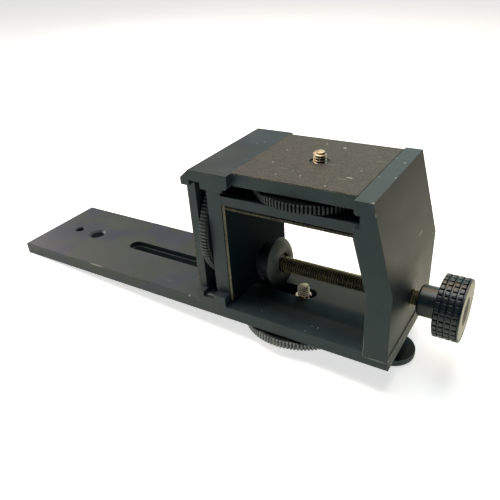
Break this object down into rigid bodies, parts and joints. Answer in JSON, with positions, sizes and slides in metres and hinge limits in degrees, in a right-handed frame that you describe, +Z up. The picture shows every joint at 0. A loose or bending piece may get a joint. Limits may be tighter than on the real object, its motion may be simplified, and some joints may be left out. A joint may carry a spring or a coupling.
{
  "type": "tripod mounting rail",
  "caption": "Slotted camera rail with a box clamp, knurled camera-screw wheels, a knob-driven clamping disc and a levelling foot.",
  "frame": {"origin": "centre of the large threaded tripod hole, on the rail's underside", "axes": "+X along the rail towards the clamp's knob, +Y from the front of the clamp to its back, +Z up"},
  "size_m": [0.2637, 0.0664, 0.0979],
  "materials": {
    "black_anodised_aluminium": "black anodised, satin",
    "black_wheel_aluminium": "black anodised, knurled",
    "black_turned_aluminium": "black anodised, turned",
    "grip_pad": "fine grained rubber",
    "throat_lining": "rubber and cork, olive cut edges",
    "brass": "turned",
    "nickelled_brass": "nickel plated, worn",
    "nickelled_steel": "nickel plated",
    "oiled_steel": "browned, oiled",
    "zinc_steel": "zinc plated",
    "black_plastic": "moulded, satin",
    "pale_plastic": "pale, satin"
  },
  "bodies": {
    "root": {"rail": "black_anodised_aluminium", "foot_block": "black_anodised_aluminium", "right_upright": "black_anodised_aluminium", "corner_strip": "black_anodised_aluminium", "side_plate": "black_anodised_aluminium", "inner_wall": "black_anodised_aluminium", "lower_wall": "black_anodised_aluminium", "top_plate": "black_anodised_aluminium", "top_pad": "grip_pad", "side_pad": "grip_pad", "throat_side_pad": "throat_lining", "throat_top_pad": "throat_lining", "wall_screws": "zinc_steel", "upright_screws": "zinc_steel", "lower_wall_screws": "zinc_steel", "lower_wall_pins": "zinc_steel", "top_plate_pins": "zinc_steel", "corner_pins": "zinc_steel", "side_plate_pins": "zinc_steel"},
    "top_turn": {"top_wheel": "black_wheel_aluminium", "top_screw": "brass"},
    "side_turn": {"side_wheel": "black_wheel_aluminium", "side_screw": "brass"},
    "rail_carriage": {"rail_clip": "nickelled_steel"},
    "rail_turn": {"rail_wheel": "black_wheel_aluminium", "rail_screw": "nickelled_brass"},
    "clamp_disc": {"pressure_disc": "black_turned_aluminium", "disc_ring": "oiled_steel"},
    "clamp_screw": {"clamp_rod": "oiled_steel", "knob_hub": "black_turned_aluminium", "knob_grip": "black_plastic", "knob_face": "pale_plastic", "hub_grub_screw": "oiled_steel"},
    "foot_post": {"foot_stem": "oiled_steel"},
    "foot_turn": {"foot_disc": "black_plastic"}
  },
  "joints": [
    {"name": "top_wheel_spin", "type": "hinge", "parent": "root", "child": "top_turn", "pos_m": [0.1579, 0.0034, 0.0696], "axis": [0, 0, 1], "continuous": true},
    {"name": "side_wheel_spin", "type": "hinge", "parent": "root", "child": "side_turn", "pos_m": [0.11, 0.0034, 0.0419], "axis": [-1, 0, 0], "continuous": true},
    {"name": "rail_screw_slide", "type": "slide", "parent": "root", "child": "rail_carriage", "axis": [1, 0, 0], "range_m": [-0.0072, 0.0025]},
    {"name": "rail_wheel_spin", "type": "hinge", "parent": "rail_carriage", "child": "rail_turn", "pos_m": [0.1502, 0, 0], "axis": [0, 0, 1], "continuous": true},
    {"name": "clamp_travel", "type": "slide", "parent": "root", "child": "clamp_disc", "axis": [1, 0, 0], "range_m": [-0.003, 0.0072]},
    {"name": "clamp_spin", "type": "hinge", "parent": "clamp_disc", "child": "clamp_screw", "pos_m": [0.15, 0.0022, 0.0199], "axis": [1, 0, 0], "range_deg": [-864, 2073.6]},
    {"name": "foot_travel", "type": "slide", "parent": "root", "child": "foot_post", "axis": [0, 0, 1], "range_m": [-0.004, 0.0065]},
    {"name": "foot_spin", "type": "hinge", "parent": "foot_post", "child": "foot_turn", "pos_m": [0.1984, 0, -0.012], "axis": [0, 0, 1], "range_deg": [-1440, 2340]}
  ],
  "couplings": [
    {"joint": "clamp_spin", "follows": "clamp_travel", "rad_per_m": 5026.5},
    {"joint": "foot_spin", "follows": "foot_travel", "rad_per_m": 6283.2}
  ]
}
